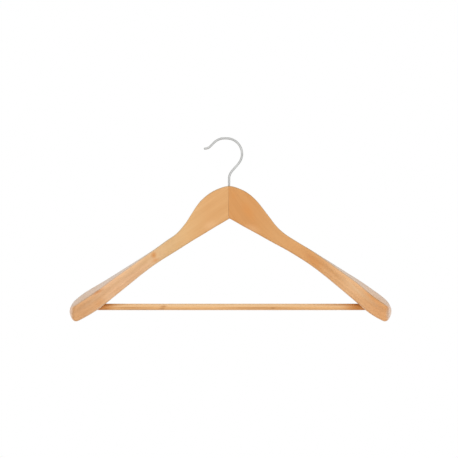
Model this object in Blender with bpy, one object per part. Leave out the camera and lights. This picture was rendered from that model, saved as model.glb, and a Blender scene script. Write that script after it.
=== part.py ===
"""A contoured wooden suit hanger with wide shoulders, a swivel hook and a fixed trouser bar.

Metres, +Z up, +X to the right of someone who faces the hanger's front, +Y to its back. The
origin is on the swivel axis, where the inner face of the hook bears on a rail. Two carved
shoulders meet at a tongue joint in the neck. The hook's shank runs down through the neck and
is held from below by a nut on a washer, so that the hook can turn all the way round. The bar's
ends sit in blind sockets, and a nail driven from the back holds each one.
"""

import math

import bmesh
import bpy
import numpy as np
from mathutils import Matrix, Vector

MM = 0.001
GAP = 0.3 * MM  # between pieces that touch or are glued

# Half of the outline from the front, in millimetres: distance out from the swivel axis, and
# height. It runs from the crown over the neck and along the arm's top, round the nose, and back
# along the underside to the notch under the neck.
OUTLINE = [
    (0, -65), (12, -67.7), (26, -74.5), (39.5, -86), (54, -105.4), (62, -117),
    (69.5, -125.8), (77.5, -133.1), (92.5, -143.1), (128, -166), (162, -187.5), (197, -209.7),
    (211, -219.5), (221, -229.2), (225, -240.5), (223, -248.5), (219.8, -253.2), (215.3, -254.7),
    (206, -250.7), (189.5, -240.5), (169.5, -224.3), (116, -181), (88, -162.5), (0, -111.1),
]
# The shoulders aren't quite a mirror image of each other: at these heights the outline's
# middle is this far to the right of the swivel axis, in millimetres.
LEAN = [(-64, 0), (-88, -0.5), (-120, 1), (-137, 2.3), (-160, 4.6), (-190, 4.6), (-250, 3.6)]
NOSE_LEAN = -1.6 * MM  # what the noses add to it
NOSE_LEAN_FROM, NOSE_LEAN_TO = 175 * MM, 205 * MM
SIDES = {"left": -1, "right": 1}
CURVE_STEPS = 16  # points of the smooth outline between two given ones

# How deep the shoulders are from front to back, and where that changes along X. The neck is flat.
# Further out the top is a dome with a rim at its front and back, and curves in below it to a web.
NECK_HALF = 7 * MM
WEB_HALF = 18.5 * MM
FOOT_HALF = 16.5 * MM
RIM_HALF = 24.5 * MM
WEB_FROM, WEB_TO = 55 * MM, 175 * MM
FLARE_FROM, FLARE_TO = 85 * MM, 192 * MM
NOSE_LENGTH = 18 * MM  # where the depth rounds off to nothing at the end
NOSE_SQUARENESS = 3
SWEEP_FROM = 30 * MM
SWEEP_PER_METRE = 0.7  # the arms' middle runs forward by this times the square of X
EDGE_RADIUS = 2.6 * MM
RIM_RADIUS = 4.5 * MM
FOOT_RADIUS, OUTER_FOOT_RADIUS = 3 * MM, 4.5 * MM
DOME_POWER = 1.25  # 1 is a flat slope from the middle to the rim, 2 a parabola
# Heights as shares of a section's height, from its top.
RIM_SHARE, NOSE_RIM_SHARE = 0.27, 0.35
NOSE_RIM_FROM, NOSE_RIM_TO = 168 * MM, 205 * MM  # where the rim gets lower
WEB_SHARE = 0.72
MAX_FOOT_SHARE = 0.25
UNDERCUT_HANDLE = 0.4  # of the way from the rim down to the web, for a cubic curve
ARC_HANDLE = 0.552  # of the radius, for a cubic curve that follows a quarter circle
STATION_STEP = 6 * MM
NOSE_STATIONS = 9
DOME_STEPS, EDGE_STEPS, UNDERCUT_STEPS, WEB_STEPS, FLAT_STEPS = 3, 3, 5, 2, 1

# The joint between the shoulders: the right one's tongue fills a slot in the left one.
SEAM_X = -0.8 * MM
TONGUE_HALF = 2.5 * MM
TONGUE_REACH = 14 * MM

# The hook: a bent wire in the XZ plane.
WIRE_RADIUS = 1.6 * MM
BOW_RADIUS = 21.8 * MM  # of the wire's centre line, from the shank up to the crown
BOW_OFFSET = -3.6 * MM  # the bow's centre from the swivel axis
BOW_BELOW_LEVEL = math.radians(41)
CROWN_FLAT = 3 * MM
CROWN_RADIUS = 20.8 * MM
CROWN_TURN = math.radians(45.5)
MOUTH_STRAIGHT = 7.3 * MM
TIP_RADIUS = 9.4 * MM
TIP_TURN = math.radians(35)
TIP_STRAIGHT = 4.1 * MM
SHANK_BEND_RADIUS = 16 * MM
WIRE_STEP = math.radians(9)
WIRE_ROUNDNESS = 4  # the curve's bevel resolution
TIP_ROUNDING = math.radians(80)  # how much of a ball's quarter the tip has before it's flat
TIP_STEPS = 5
SHANK_CHAMFER = 0.5 * MM

# What holds the hook, in a counterbore that opens into the notch.
BORE_RADIUS = WIRE_RADIUS + GAP
COUNTERBORE_RADIUS = 4.5 * MM
COUNTERBORE_TOP = -101.5 * MM
WASHER_RADIUS = 4.1 * MM
WASHER_THICKNESS = 0.8 * MM
WASHER_SEGMENTS = 32
NUT_SIDES = 6
NUT_ACROSS_FLATS = 6 * MM
NUT_HEIGHT = 2.8 * MM
NUT_CHAMFER = math.radians(30)
NUT_TURNING_RADIUS = 4.5 * MM  # outside the nut's corners
SHANK_END = -107.2 * MM

# The trouser bar and its nails.
BAR_RADIUS = 4.6 * MM
BAR_HALF_LENGTH = 194 * MM
BAR_Y = -16.5 * MM
BAR_Z = -234.9 * MM
BAR_CHAMFER = 0.8 * MM
BAR_CHAMFERED_ANGLE = math.radians(60)  # edges sharper than this
BAR_SEGMENTS = 32
NAIL_OUT = 187.5 * MM  # from the bar's middle
NAIL_LENGTH = 16 * MM
NAIL_RADIUS = 0.7 * MM
NAIL_HEAD_RADIUS = 1.4 * MM
NAIL_HEAD_THICKNESS = 0.6 * MM
NAIL_POINT = 1.8 * MM
NAIL_HEAD_Y = -1.5 * MM
NAIL_SEGMENTS = 16

# Each material's colour, roughness and how metallic it is.
FINISHES = {
    "left_shoulder_wood": ((0.70, 0.41, 0.18), 0.4, 0),
    "right_shoulder_wood": ((0.65, 0.34, 0.12), 0.4, 0),
    "bar_wood": ((0.75, 0.43, 0.19), 0.45, 0),
    "hook_steel": ((0.55, 0.55, 0.54), 0.35, 1),
    "zinc_steel": ((0.55, 0.55, 0.56), 0.4, 1),
}

SMOOTH_ANGLE = math.radians(35)
HOLE_SEGMENTS = 24
FAR = 0.4  # past every part, for cutters
SAME_POINT = 0.001 * MM  # points closer together than this become one


def clear_scene():
    for obj in list(bpy.data.objects):
        bpy.data.objects.remove(obj)


def make_material(name):
    colour, roughness, metallic = FINISHES[name]
    material = bpy.data.materials.new(name)
    material.use_nodes = True
    shader = material.node_tree.nodes["Principled BSDF"]
    shader.inputs["Base Color"].default_value = (*colour, 1)
    shader.inputs["Roughness"].default_value = roughness
    shader.inputs["Metallic"].default_value = metallic
    return material


def make_object(name, data, material=None):
    obj = bpy.data.objects.new(name, data)
    bpy.context.scene.collection.objects.link(obj)
    if material:
        data.materials.append(material)
    return obj


def mesh_from(bm, name):
    bmesh.ops.recalc_face_normals(bm, faces=bm.faces)
    mesh = bpy.data.meshes.new(name)
    bm.to_mesh(mesh)
    bm.free()
    mesh.shade_smooth()
    mesh.set_sharp_from_angle(angle=SMOOTH_ANGLE)
    return mesh


def cylinder(name, radius, start, end, segments=HOLE_SEGMENTS, material=None):
    """A closed cylinder from one point to another."""
    start, end = Vector(start), Vector(end)
    along = end - start
    bm = bmesh.new()
    bmesh.ops.create_cone(
        bm, cap_ends=True, segments=segments, radius1=radius, radius2=radius, depth=along.length
    )
    turn = Vector((0, 0, 1)).rotation_difference(along).to_matrix().to_4x4()
    bmesh.ops.transform(bm, verts=bm.verts, matrix=Matrix.Translation((start + end) / 2) @ turn)
    return make_object(name, mesh_from(bm, name), material)


def turned(name, profile, material=None, segments=HOLE_SEGMENTS):
    """A closed solid turned about its own Z from (radius, height) points that start and end on it."""
    bm = bmesh.new()
    verts = [bm.verts.new((radius, 0, height)) for radius, height in profile]
    edges = [bm.edges.new(pair) for pair in zip(verts, verts[1:])]
    bmesh.ops.spin(
        bm, geom=verts + edges, cent=(0, 0, 0), axis=(0, 0, 1), angle=math.tau, steps=segments
    )
    bmesh.ops.remove_doubles(bm, verts=bm.verts, dist=SAME_POINT)
    return make_object(name, mesh_from(bm, name), material)


def as_cutter(obj):
    obj.hide_render = True
    obj.display_type = "WIRE"
    return obj


def combine(obj, operation, *others):
    for other in others:
        modifier = obj.modifiers.new(f"{operation.lower()} {other.name}", "BOOLEAN")
        modifier.operation = operation
        modifier.solver = "EXACT"
        modifier.object = other


# The shoulders


def smooth_curve(points, before, after):
    """A centripetal Catmull-Rom curve through points; before and after steer its two ends."""
    padded = [Vector(p) for p in (before, *points, after)]
    curve = []
    for p0, p1, p2, p3 in zip(padded, padded[1:], padded[2:], padded[3:]):
        t1 = math.sqrt((p1 - p0).length)
        t2 = t1 + math.sqrt((p2 - p1).length)
        t3 = t2 + math.sqrt((p3 - p2).length)
        for step in range(CURVE_STEPS):
            t = t1 + (t2 - t1) * step / CURVE_STEPS
            a1 = p0.lerp(p1, t / t1)
            a2 = p1.lerp(p2, (t - t1) / (t2 - t1))
            a3 = p2.lerp(p3, (t - t2) / (t3 - t2))
            b1 = a1.lerp(a2, t / t2)
            b2 = a2.lerp(a3, (t - t1) / (t3 - t1))
            curve.append(b1.lerp(b2, (t - t1) / (t2 - t1)))
    return curve + [padded[-2]]


def half_outline():
    """The outline's top and its underside as (X, Z) arrays that run outwards, in metres."""
    before = (-OUTLINE[1][0], OUTLINE[1][1])  # level at the crown
    after = [2 * a - b for a, b in zip(OUTLINE[-1], OUTLINE[-2])]  # straight into the notch
    curve = np.array(smooth_curve(OUTLINE, before, after)) * MM
    nose = int(curve[:, 0].argmax())
    return curve[: nose + 1].T, curve[nose:][::-1].T


def mix(a, b, share):
    return a + (b - a) * share


def ease(value, low, high):
    share = min(1, max(0, (value - low) / (high - low)))
    return share * share * (3 - 2 * share)


def steps(count):
    return [(i + 1) / count for i in range(count)]


def lean(x, z):
    """How far to the right the outline is at a distance out from its middle and a height."""
    nose = NOSE_LEAN * ease(x, NOSE_LEAN_FROM, NOSE_LEAN_TO)
    for (z0, lean0), (z1, lean1) in zip(LEAN, LEAN[1:]):
        if z >= z1 * MM:
            return mix(lean0, lean1, ease(-z, -z0 * MM, -z1 * MM)) * MM + nose
    return LEAN[-1][1] * MM + nose


def sweep(x):
    """Where an arm's middle is along Y: out from the neck it runs forward."""
    return -SWEEP_PER_METRE * max(0, x - SWEEP_FROM) ** 2


def cubic(points, share):
    """A point on the cubic curve with these four control points."""
    rest = 1 - share
    weights = (rest**3, 3 * rest * rest * share, 3 * rest * share * share, share**3)
    return tuple(sum(w * p[axis] for w, p in zip(weights, points)) for axis in (0, 1))


def half_section(x, height, nose_x):
    """Half of an arm's section: (depth from its middle, distance below its top) down to the foot."""
    flare = ease(x, FLARE_FROM, FLARE_TO)
    grown = ease(x, WEB_FROM, WEB_TO)
    past = max(0, (x - nose_x + NOSE_LENGTH) / NOSE_LENGTH)
    rounding = (1 - past**NOSE_SQUARENESS) ** (1 / DOME_POWER)
    web = mix(NECK_HALF, WEB_HALF, grown) * rounding
    foot = mix(NECK_HALF, FOOT_HALF, grown) * rounding
    rim = mix(web, RIM_HALF * rounding, flare)
    rim_share = mix(RIM_SHARE, NOSE_RIM_SHARE, ease(x, NOSE_RIM_FROM, NOSE_RIM_TO))
    edge = min(mix(EDGE_RADIUS, RIM_RADIUS, flare), rim_share * height, rim)
    rim_z = mix(edge, rim_share * height, flare)
    dome = (rim - edge, rim_z - edge)
    slope = DOME_POWER * dome[1] / max(dome[0], EDGE_RADIUS)
    web_z = WEB_SHARE * height
    radius = min(mix(FOOT_RADIUS, OUTER_FOOT_RADIUS, grown), MAX_FOOT_SHARE * height, foot)
    foot_z = height - radius

    handle = ARC_HANDLE * edge
    outwards = (dome[0] + handle, dome[1] + handle * slope)
    round_edge = [dome, outwards, (rim, rim_z - handle), (rim, rim_z)]
    reach = UNDERCUT_HANDLE * (web_z - rim_z)
    undercut = [(rim, rim_z), (rim, rim_z + reach), (web, web_z - reach), (web, web_z)]
    half = [(0, 0)]
    half += [(dome[0] * share, dome[1] * share**DOME_POWER) for share in steps(DOME_STEPS)]
    half += [cubic(round_edge, share) for share in steps(EDGE_STEPS)]
    half += [cubic(undercut, share) for share in steps(UNDERCUT_STEPS)]
    half += [(mix(web, foot, share), mix(web_z, foot_z, share)) for share in steps(WEB_STEPS)]
    for share in steps(EDGE_STEPS):
        angle = share * math.pi / 2
        half.append((foot - radius * (1 - math.cos(angle)), foot_z + radius * math.sin(angle)))
    half += [((foot - radius) * (1 - share), height) for share in steps(FLAT_STEPS)]
    return half


def section_points(side, x, top, foot, nose_x):
    """One closed section of an arm, as points in space."""
    half = half_section(x, top - foot, nose_x)
    front = [(-depth, top - below) for depth, below in half]
    back = [(depth, top - below) for depth, below in half[-2:0:-1]]
    return [(SIDES[side] * x + lean(x, z), sweep(x) + y, z) for y, z in front + back]


def stations(nose_x):
    """Where the sections are, from the swivel axis to just short of the nose."""
    plain_length = nose_x - NOSE_LENGTH
    count = round(plain_length / STATION_STEP)
    plain = [plain_length * i / count for i in range(count)]
    angles = [math.pi / 2 * i / NOSE_STATIONS for i in range(NOSE_STATIONS)]
    return plain + [plain_length + NOSE_LENGTH * math.sin(angle) for angle in angles]


def shoulder_body():
    """The whole carved body, nose to nose, before it is parted at the neck."""
    (top_x, top_z), (foot_x, foot_z) = half_outline()
    nose_x, nose_z = top_x[-1], top_z[-1]
    bm = bmesh.new()
    sections = {}
    for side in SIDES:
        sections[side] = []
        for x in stations(nose_x):
            top, foot = np.interp(x, top_x, top_z), np.interp(x, foot_x, foot_z)
            points = section_points(side, x, top, foot, nose_x)
            sections[side].append([bm.verts.new(point) for point in points])
    chain = sections["left"][::-1] + sections["right"]
    for near, far in zip(chain, chain[1:]):
        for i in range(len(near)):
            bm.faces.new((near[i - 1], near[i], far[i], far[i - 1]))
    for side, end in (("left", chain[0]), ("right", chain[-1])):
        tip_x = SIDES[side] * nose_x + lean(nose_x, nose_z)
        nose = bm.verts.new((tip_x, sweep(nose_x), nose_z))
        for i in range(len(end)):
            bm.faces.new((end[i - 1], end[i], nose))
    bmesh.ops.remove_doubles(bm, verts=bm.verts, dist=SAME_POINT)
    return mesh_from(bm, "shoulder_body")


def right_side_prism(name, grow):
    """All that belongs to the right shoulder: its side of the seam, and the tongue past it."""
    seam = SEAM_X - grow
    reach = -TONGUE_REACH - grow
    half = TONGUE_HALF + grow
    outline = [
        (FAR, -FAR), (FAR, FAR), (seam, FAR), (seam, half),
        (reach, half), (reach, -half), (seam, -half), (seam, -FAR),
    ]
    bm = bmesh.new()
    face = bm.faces.new([bm.verts.new((x, y, -FAR)) for x, y in outline])
    grown = bmesh.ops.extrude_face_region(bm, geom=[face])
    moved = [v for v in grown["geom"] if isinstance(v, bmesh.types.BMVert)]
    bmesh.ops.translate(bm, verts=moved, vec=(0, 0, 2 * FAR))
    return as_cutter(make_object(name, mesh_from(bm, name)))


def make_shoulders(left_wood, right_wood):
    hook_bore = as_cutter(cylinder("hook_bore", BORE_RADIUS, (0, 0, SHANK_END), (0, 0, 0)))
    counterbore = as_cutter(
        cylinder("counterbore", COUNTERBORE_RADIUS, (0, 0, -FAR), (0, 0, COUNTERBORE_TOP))
    )
    bar_socket = as_cutter(
        cylinder("bar_socket", BAR_RADIUS + GAP, *bar_ends(BAR_HALF_LENGTH + GAP), BAR_SEGMENTS)
    )
    left = make_object("left_shoulder", shoulder_body(), left_wood)
    right = make_object("right_shoulder", shoulder_body(), right_wood)
    combine(left, "DIFFERENCE", right_side_prism("right_side_and_gap", GAP))
    combine(right, "INTERSECT", right_side_prism("right_side", 0))
    for side, shoulder in (("left", left), ("right", right)):
        combine(shoulder, "DIFFERENCE", hook_bore, counterbore, bar_socket)
        combine(shoulder, "DIFFERENCE", *nail_cutters(side))


# The hook and what holds it


def walk(start, heading, moves):
    """Points of a path in the XZ plane made of arcs and straight runs. A left turn is positive."""
    x, z = start
    points = []
    for radius_or_length, turn in moves:
        if turn == 0:
            x += radius_or_length * math.cos(heading)
            z += radius_or_length * math.sin(heading)
            points.append((x, z))
            continue
        count = math.ceil(abs(turn) / WIRE_STEP)
        sense = math.copysign(1, turn)
        centre_x = x - sense * radius_or_length * math.sin(heading)
        centre_z = z + sense * radius_or_length * math.cos(heading)
        for _ in range(count):
            heading += turn / count
            x = centre_x + sense * radius_or_length * math.sin(heading)
            z = centre_z - sense * radius_or_length * math.cos(heading)
            points.append((x, z))
    return points


def hook_path():
    """The wire's centre line from the shank's lower end, up, over the bow and out to the tip."""
    inner_radius = BOW_RADIUS - WIRE_RADIUS
    centre_z = -math.sqrt(inner_radius**2 - BOW_OFFSET**2)  # the inner face passes the origin
    crown = (BOW_OFFSET, centre_z + BOW_RADIUS)
    low = BOW_BELOW_LEVEL
    bend_width = SHANK_BEND_RADIUS * (1 - math.cos(low))
    run = (BOW_OFFSET + BOW_RADIUS * math.cos(low) - bend_width) / math.sin(low)
    down = walk(
        crown, 0, [(BOW_RADIUS, -math.pi / 2 - low), (run, 0), (SHANK_BEND_RADIUS, low)]
    )
    out = walk(
        crown,
        math.pi,
        [
            (CROWN_FLAT, 0), (CROWN_RADIUS, CROWN_TURN), (MOUTH_STRAIGHT, 0),
            (TIP_RADIUS, -TIP_TURN), (TIP_STRAIGHT, 0),
        ],
    )
    return [(0, SHANK_END), *down[::-1], crown, *out]


def rounded_end(path):
    """Points that close in on a path's end, with the share of the wire's radius at each."""
    (x0, z0), (x1, z1) = path[-2:]
    length = math.hypot(x1 - x0, z1 - z0)
    ends = []
    for angle in [TIP_ROUNDING * i / TIP_STEPS for i in range(TIP_STEPS + 1)]:
        share = 1 - WIRE_RADIUS * (1 - math.sin(angle)) / length
        ends.append((mix(x0, x1, share), mix(z0, z1, share), math.cos(angle)))
    return ends


def make_hook(steel):
    path = hook_path()
    points = [(0, SHANK_END, 1 - SHANK_CHAMFER / WIRE_RADIUS), (0, SHANK_END + SHANK_CHAMFER, 1)]
    points += [(x, z, 1) for x, z in path[1:-1]] + rounded_end(path)
    curve = bpy.data.curves.new("hook", "CURVE")
    curve.dimensions = "3D"
    curve.bevel_depth = WIRE_RADIUS
    curve.bevel_resolution = WIRE_ROUNDNESS
    curve.use_fill_caps = True
    spline = curve.splines.new("POLY")
    spline.points.add(len(points) - 1)
    for point, (x, z, radius) in zip(spline.points, points):
        point.co = (x, 0, z, 1)
        point.radius = radius
    make_object("hook", curve, steel)


def make_hook_washer(steel):
    top = COUNTERBORE_TOP - GAP
    bottom = top - WASHER_THICKNESS
    ends = (0, 0, bottom), (0, 0, top)
    washer = cylinder("hook_washer", WASHER_RADIUS, *ends, WASHER_SEGMENTS, steel)
    combine(washer, "DIFFERENCE", bpy.data.objects["hook_bore"])
    return bottom


def make_hook_nut(steel, washer_bottom):
    """A hexagonal nut whose corners are turned off at both faces."""
    half = NUT_ACROSS_FLATS / 2
    corner = half / math.cos(math.pi / NUT_SIDES)
    top = washer_bottom - GAP
    bottom = top - NUT_HEIGHT
    nut = cylinder("hook_nut", corner, (0, 0, bottom), (0, 0, top), NUT_SIDES, steel)
    slope = (NUT_TURNING_RADIUS - half) * math.tan(NUT_CHAMFER)
    turning = turned(
        "nut_turning",
        [
            (0, top), (half, top), (NUT_TURNING_RADIUS, top - slope),
            (NUT_TURNING_RADIUS, bottom + slope), (half, bottom), (0, bottom),
        ],
    )
    combine(nut, "INTERSECT", as_cutter(turning))
    combine(nut, "DIFFERENCE", bpy.data.objects["hook_bore"])


# The trouser bar and its nails


def beside_bar_middle(distance):
    """Where something is along X when it's this far to the right of the bar's middle."""
    return lean(BAR_HALF_LENGTH, BAR_Z) + distance


def bar_ends(half_length):
    return [(beside_bar_middle(side * half_length), BAR_Y, BAR_Z) for side in SIDES.values()]


def make_bar(wood):
    bar = cylinder("trouser_bar", BAR_RADIUS, *bar_ends(BAR_HALF_LENGTH), BAR_SEGMENTS, wood)
    bevel = bar.modifiers.new("end chamfers", "BEVEL")
    bevel.width = BAR_CHAMFER
    bevel.segments = 1
    bevel.angle_limit = BAR_CHAMFERED_ANGLE
    for side in SIDES:
        combine(bar, "DIFFERENCE", nail_cutters(side)[0])


def nail_cutters(side):
    """The hole for a nail's shank, and the wider one for its head, made once for each side."""
    x = beside_bar_middle(SIDES[side] * NAIL_OUT)
    shank_end = NAIL_HEAD_Y - NAIL_LENGTH - GAP
    seat = NAIL_HEAD_Y - NAIL_HEAD_THICKNESS - GAP
    holes = {
        f"{side}_nail_hole": (NAIL_RADIUS + GAP, shank_end),
        f"{side}_nail_head_hole": (NAIL_HEAD_RADIUS + GAP, seat),
    }
    for name, (radius, start) in holes.items():
        if name not in bpy.data.objects:
            ends = (x, start, BAR_Z), (x, FAR, BAR_Z)
            as_cutter(cylinder(name, radius, *ends, NAIL_SEGMENTS))
    return [bpy.data.objects[name] for name in holes]


def make_nails(steel):
    profile = [
        (0, 0),
        (NAIL_HEAD_RADIUS, 0),
        (NAIL_HEAD_RADIUS, -NAIL_HEAD_THICKNESS),
        (NAIL_RADIUS, -NAIL_HEAD_THICKNESS),
        (NAIL_RADIUS, NAIL_POINT - NAIL_LENGTH),
        (0, -NAIL_LENGTH),
    ]
    for side in SIDES:
        nail = turned(f"{side}_bar_nail", profile, steel, NAIL_SEGMENTS)
        nail.location = (beside_bar_middle(SIDES[side] * NAIL_OUT), NAIL_HEAD_Y, BAR_Z)
        nail.rotation_euler = (math.radians(-90), 0, 0)  # its head to the back


def main():
    clear_scene()
    zinc_steel = make_material("zinc_steel")
    make_shoulders(make_material("left_shoulder_wood"), make_material("right_shoulder_wood"))
    make_hook(make_material("hook_steel"))
    washer_bottom = make_hook_washer(zinc_steel)
    make_hook_nut(zinc_steel, washer_bottom)
    make_bar(make_material("bar_wood"))
    make_nails(zinc_steel)


main()
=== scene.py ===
"""The looks of a contoured wooden suit hanger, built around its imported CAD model.

Metres, +Z up, +X to the right of someone who faces the hanger's front, +Y to its back, with the
origin on the swivel axis at the inner face of the hook. The two shoulders, the trouser bar and
the hook are rebuilt as fine meshes in the places of their CAD nodes. The nut, the washer and
the nails keep their CAD meshes and get finished materials.
"""

import math

import bmesh
import bpy
import numpy as np
from mathutils import Matrix, Vector, noise


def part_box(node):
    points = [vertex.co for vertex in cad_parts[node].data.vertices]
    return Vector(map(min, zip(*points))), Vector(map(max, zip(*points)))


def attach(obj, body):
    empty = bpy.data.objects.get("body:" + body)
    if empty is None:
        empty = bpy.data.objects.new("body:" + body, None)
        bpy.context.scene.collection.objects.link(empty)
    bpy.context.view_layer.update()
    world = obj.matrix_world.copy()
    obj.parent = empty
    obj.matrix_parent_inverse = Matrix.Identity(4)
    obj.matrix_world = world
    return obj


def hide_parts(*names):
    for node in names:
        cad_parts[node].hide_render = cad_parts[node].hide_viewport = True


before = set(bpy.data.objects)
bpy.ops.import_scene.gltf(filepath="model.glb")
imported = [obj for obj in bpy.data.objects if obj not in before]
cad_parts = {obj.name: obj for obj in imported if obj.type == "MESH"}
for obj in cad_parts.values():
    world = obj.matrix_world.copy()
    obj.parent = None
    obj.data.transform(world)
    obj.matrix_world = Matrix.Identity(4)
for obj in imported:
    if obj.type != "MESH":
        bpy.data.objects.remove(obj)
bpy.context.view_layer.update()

MM = 0.001
SIDES = {"left": -1, "right": 1}

# What the CAD model says about the round pieces.
WIRE_LOW, WIRE_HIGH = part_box("hook")
BAR_LOW, BAR_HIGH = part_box("trouser_bar")
_, WASHER_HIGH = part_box("hook_washer")
WIRE_RADIUS = WIRE_HIGH.y
SHANK_END = WIRE_LOW.z
BAR_RADIUS = (BAR_HIGH.z - BAR_LOW.z) / 2
BAR_CENTRE = (BAR_LOW + BAR_HIGH) / 2

# Half of the shoulders' outline from the front, in millimetres: distance out from the swivel
# axis, and height, from the crown along the arm's top, round the nose and back to the notch.
OUTLINE = [
    (0, -65), (12, -67.7), (26, -74.5), (39.5, -86), (54, -105.4), (62, -117),
    (69.5, -125.8), (77.5, -133.1), (92.5, -143.1), (128, -166), (162, -187.5), (197, -209.7),
    (211, -219.5), (221, -229.2), (225, -240.5), (223, -248.5), (219.8, -253.2), (215.3, -254.7),
    (206, -250.7), (189.5, -240.5), (169.5, -224.3), (116, -181), (88, -162.5), (0, -111.1),
]
# At these heights the outline's middle is this far to the right, in millimetres.
LEAN = [(-64, 0), (-88, -0.5), (-120, 1), (-137, 2.3), (-160, 4.6), (-190, 4.6), (-250, 3.6)]
NOSE_LEAN = -1.6 * MM  # what the noses add to it
NOSE_LEAN_FROM, NOSE_LEAN_TO = 175 * MM, 205 * MM
CURVE_STEPS = 24

# The shoulders' depth from front to back, and where it changes along X. The neck is flat. Further
# out the top is a dome with a rim at its front and back, undercut down to a web.
NECK_HALF = 7 * MM
WEB_HALF = 18.5 * MM
FOOT_HALF = 16.5 * MM
RIM_HALF = 24.5 * MM
WEB_FROM, WEB_TO = 55 * MM, 175 * MM
FLARE_FROM, FLARE_TO = 85 * MM, 192 * MM
NOSE_LENGTH = 18 * MM  # where the depth rounds off to nothing at the end
NOSE_SQUARENESS = 3
SWEEP_FROM = 30 * MM
SWEEP_PER_METRE = 0.7  # the arms' middle runs forward by this times the square of X
EDGE_RADIUS = 2.6 * MM
RIM_RADIUS = 4.5 * MM
FOOT_RADIUS, OUTER_FOOT_RADIUS = 3 * MM, 4.5 * MM
DOME_POWER = 1.25  # 1 is a flat slope from the middle to the rim, 2 a parabola
# Heights as shares of a section's height, from its top.
RIM_SHARE, NOSE_RIM_SHARE = 0.27, 0.35
NOSE_RIM_FROM, NOSE_RIM_TO = 168 * MM, 205 * MM  # where the rim gets lower
WEB_SHARE = 0.72
MAX_FOOT_SHARE = 0.25
UNDERCUT_HANDLE = 0.4  # of the way from the rim down to the web, for a cubic curve
ARC_HANDLE = 0.552  # of the radius, for a cubic curve that follows a quarter circle
STATION_STEP = 2.2 * MM
NOSE_STATIONS = 22
DOME_STEPS, EDGE_STEPS, UNDERCUT_STEPS, WEB_STEPS, FLAT_STEPS = 9, 8, 14, 6, 4

# The joint between the shoulders.
SEAM_X = -0.8 * MM
SEAM_GAP = 0.05 * MM
SEAM_GROOVE = 0.12 * MM  # the depth of the eased edges along it
SEAM_GROOVE_HALF = 0.45 * MM
SEAM_STATIONS = (-1, -0.5, 0, 0.5, 1)  # sections across the groove, as shares of its half width
TONGUE_HALF = 2.5 * MM
TONGUE_REACH = 14 * MM

# The waviness that sanding by hand leaves.
CARVING_DEPTH = 0.16 * MM
WAVES_PER_METRE = 45
FINE_WAVES_PER_METRE, FINE_WAVE_SHARE = 140, 0.2
NOSE_POINTS_APART = 0.005 * MM  # points at the noses closer together than this become one

# The holes' clearances round what they hold, and their mouths.
BORE_GAP, BORE_MOUTH = 0.15 * MM, 0.5 * MM
RECESS_GAP, RECESS_TOP_GAP = 0.4 * MM, 0.1 * MM
SOCKET_GAP, SOCKET_END_GAP, SOCKET_SEGMENTS = 0.06 * MM, 0.15 * MM, 96
NAIL_HEAD_GAP = 0.06 * MM
NAIL_HOLE_BELOW, NAIL_HOLE_ABOVE, NAIL_DIMPLE = 0.6 * MM, 0.7 * MM, 2 * MM

# The hook's centre line: arcs and straight runs.
BOW_RADIUS = 21.8 * MM
BOW_OFFSET = -3.6 * MM
BOW_BELOW_LEVEL = math.radians(41)
CROWN_FLAT = 3 * MM
CROWN_RADIUS, CROWN_TURN = 20.8 * MM, math.radians(45.5)
MOUTH_STRAIGHT = 7.3 * MM
TIP_RADIUS, TIP_TURN = 9.4 * MM, math.radians(35)
TIP_STRAIGHT = 4.1 * MM
SHANK_BEND_RADIUS = 16 * MM
WIRE_STEP = math.radians(3)
WIRE_SEGMENTS = 32
THREAD_TOP = -98 * MM
THREAD_PITCH = 0.5 * MM
THREAD_DEPTH = 0.22 * MM
THREAD_STEPS = 8  # sections in one turn of the thread
THREAD_RUNOUT = 2 * THREAD_PITCH
SHANK_CHAMFER = 0.5 * MM
TIP_ROUNDING = math.radians(88)  # how much of a ball's quarter the tip has before it's flat
TIP_STEPS = 8

# The bar, which isn't perfectly round.
BAR_CHAMFER = 0.8 * MM
BAR_RINGS, BAR_SEGMENTS = 120, 96
BAR_WAVE_DEPTH = 0.05 * MM
BAR_WAVES_PER_METRE, BAR_WAVES_ROUND = 30, 0.7

# The shoulders' wood: its figure, the colours of its marks, what is laid over it, and a painted
# reflection on surfaces that face up.
DEEPER = (0.89, 0.81, 0.67)  # what the darkest parts of the figure do to a pale wood colour
RING_DRIFT = 12 * MM
FIGURE_SHARES = (0.22, 0.38, 0.28, 0.12)  # of rings, patches, fibres and pores
# a knot's colour, also used for a streak of painted shade
KNOT_AND_SHADE = (0.5, 0.19, 0.05)
AMBER = (0.6, 0.24, 0.05)
# a straw colour, also used for painted highlights on the right arm
STRAW = (0.8, 0.5, 0.26)
# the colour of painted shade on the left arm
SHADE_TAN = (0.68, 0.385, 0.195)
# the colour of a painted highlight on the right nose
NOSE_HIGHLIGHT = (0.64, 0.475, 0.36)
SEAM_DARK = (0.2, 0.085, 0.03)
GLUE_HALF = 0.1 * MM
GLUE_HEIGHTS, GLUE_STRENGTHS = (-75 * MM, -98 * MM), (0.12, 0.45)
TOP_SHEEN = (0.84, 1.0, 1.35)  # painted reflection: what it does to the wood's colour on surfaces that face up, paler and cooler
SHEEN_FROM, SHEEN_TO = 0.3, 0.65  # how far up a surface faces, where the painted reflection starts and is strongest

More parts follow.
